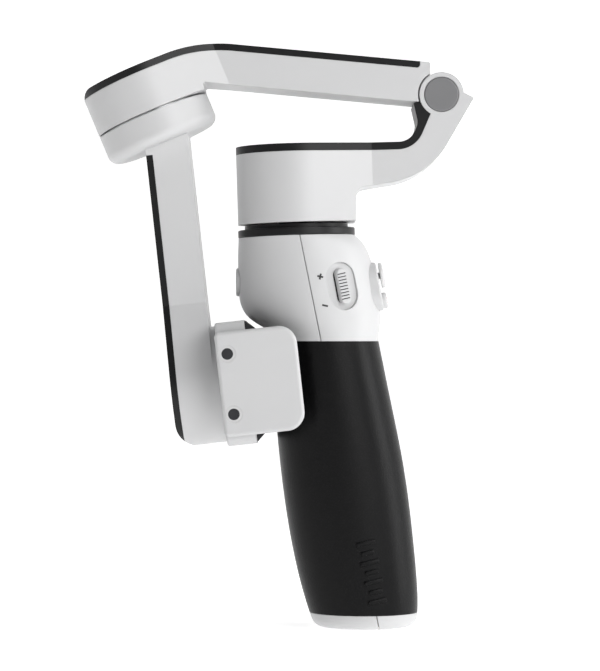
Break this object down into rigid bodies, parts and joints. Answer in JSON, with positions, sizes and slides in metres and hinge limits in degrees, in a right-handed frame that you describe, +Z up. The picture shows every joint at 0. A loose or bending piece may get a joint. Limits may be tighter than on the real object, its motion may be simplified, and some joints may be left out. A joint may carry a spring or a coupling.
{
  "type": "phone gimbal stabilizer",
  "caption": "Folding three-axis phone gimbal stabilizer, stowed: leaning rubber grip, hinged arm pair, three motor housings and a sprung phone clamp folded round the neck.",
  "frame": {"origin": "centre of the tripod thread in the base, on the flat bottom", "axes": "+Z up out of the base, +X away from the folded clamp, Y across the object; the clamp jaws open along Y"},
  "size_m": [0.1303, 0.066, 0.1954],
  "materials": {
    "white_plastic": "satin moulded, fine texture",
    "black_plastic": "satin",
    "grip_rubber": "fine leather-like texture",
    "black_rubber": "matt",
    "grey_cap": "satin",
    "control_white": "gloss",
    "red_mark_button": "gloss with a red dot",
    "steel": "turned",
    "brass": "turned",
    "motor_steel": "laminated",
    "copper_coils": "enamelled wire",
    "battery_wrap": "shrink wrap",
    "circuit_board": "solder mask",
    "contact_dark": "plated",
    "contact_light": "gloss"
  },
  "bodies": {
    "handle": {"front_shell": "white_plastic", "rear_shell": "white_plastic", "grip_sleeve": "grip_rubber", "shell_screws": "steel", "tripod_insert": "brass", "battery": "battery_wrap", "main_board": "circuit_board", "usb_port": "steel", "control_pad": "white_plastic", "collar_ring": "black_plastic", "pan_motor_stator": "motor_steel", "pan_motor_coils": "copper_coils", "pan_motor_bearings": "steel"},
    "zoom_slider": {"zoom_slider": "white_plastic"},
    "trigger": {"trigger": "white_plastic"},
    "joystick_ring": {"joystick_ring": "black_plastic"},
    "joystick_cap": {"joystick_cap": "control_white"},
    "record_button": {"record_button": "red_mark_button"},
    "pan_arm": {"pan_arm_housing": "white_plastic", "pan_arm_trim": "black_plastic", "hinge_pin": "steel", "hinge_caps": "grey_cap", "pan_motor_rotor": "steel"},
    "fold_arm": {"fold_arm_housing": "white_plastic", "fold_arm_trim": "black_plastic", "hinge_washers": "steel", "roll_motor_stator": "motor_steel", "roll_motor_coils": "copper_coils", "roll_motor_bearings": "steel"},
    "tilt_arm": {"tilt_arm_housing": "white_plastic", "tilt_arm_trim": "black_plastic", "roll_motor_rotor": "steel", "tilt_motor_stator": "motor_steel", "tilt_motor_coils": "copper_coils", "tilt_motor_bearings": "steel"},
    "clamp": {"clamp_body": "white_plastic", "clamp_cover": "white_plastic", "clamp_back_pad": "black_rubber", "clamp_screws": "steel", "guide_rods": "steel", "gear_pin": "steel", "clamp_spring": "steel", "tilt_motor_rotor": "steel"},
    "front_jaw": {"front_jaw": "white_plastic", "front_jaw_pad": "black_rubber", "light_contacts": "contact_dark", "contact_rings": "contact_light"},
    "rear_jaw": {"rear_jaw": "white_plastic", "rear_jaw_pad": "black_rubber"},
    "clamp_pinion": {"clamp_pinion": "black_plastic"}
  },
  "joints": [
    {"name": "pan", "type": "hinge", "parent": "handle", "child": "pan_arm", "pos_m": [-0.0234, 0, 0.133], "axis": [-0.0314, 0, 0.9995], "range_deg": [-20, 20]},
    {"name": "unfold", "type": "hinge", "parent": "pan_arm", "child": "fold_arm", "pos_m": [0.025, 0, 0.1785], "axis": [0, 1, 0], "range_deg": [0, 110]},
    {"name": "roll", "type": "hinge", "parent": "fold_arm", "child": "tilt_arm", "pos_m": [-0.0719, 0, 0.1726], "axis": [0.3875, 0, -0.9219], "range_deg": [-10, 10]},
    {"name": "tilt", "type": "hinge", "parent": "tilt_arm", "child": "clamp", "pos_m": [-0.0488, 0, 0.0818], "axis": [0.994, 0, 0.1097], "range_deg": [-8, 8]},
    {"name": "front_jaw_slide", "type": "slide", "parent": "clamp", "child": "front_jaw", "axis": [0, -1, 0], "range_m": [0, 0.015], "stiffness_N_per_m": 120, "springref_m": -0.02},
    {"name": "rear_jaw_slide", "type": "slide", "parent": "clamp", "child": "rear_jaw", "axis": [0, 1, 0], "range_m": [0, 0.015]},
    {"name": "pinion_turn", "type": "hinge", "parent": "clamp", "child": "clamp_pinion", "pos_m": [-0.0488, 0, 0.0818], "axis": [0.994, 0, 0.1097], "range_deg": [0, 160]},
    {"name": "zoom_slide", "type": "slide", "parent": "handle", "child": "zoom_slider", "axis": [-0.1884, -0.0879, 0.9781], "range_m": [-0.0018, 0.0018], "stiffness_N_per_m": 300},
    {"name": "trigger_press", "type": "slide", "parent": "handle", "child": "trigger", "axis": [1, 0, 0], "range_m": [0, 0.0008], "stiffness_N_per_m": 800, "springref_m": -0.0005},
    {"name": "joystick_sideways", "type": "hinge", "parent": "handle", "child": "joystick_ring", "pos_m": [-0.00027, 0, 0.11744], "axis": [-0.1788, 0, 0.9839], "range_deg": [-8, 8], "stiffness_Nm_per_rad": 0.05},
    {"name": "joystick_updown", "type": "hinge", "parent": "joystick_ring", "child": "joystick_cap", "pos_m": [-0.00027, 0, 0.11744], "axis": [0, 1, 0], "range_deg": [-8, 8], "stiffness_Nm_per_rad": 0.05},
    {"name": "record_press", "type": "slide", "parent": "handle", "child": "record_button", "axis": [-0.9839, 0, -0.1788], "range_m": [0, 0.0007], "stiffness_N_per_m": 800, "springref_m": -0.0005}
  ],
  "couplings": [
    {"joint": "rear_jaw_slide", "follows": "front_jaw_slide", "ratio": 1},
    {"joint": "pinion_turn", "follows": "front_jaw_slide", "rad_per_m": 185.19}
  ]
}
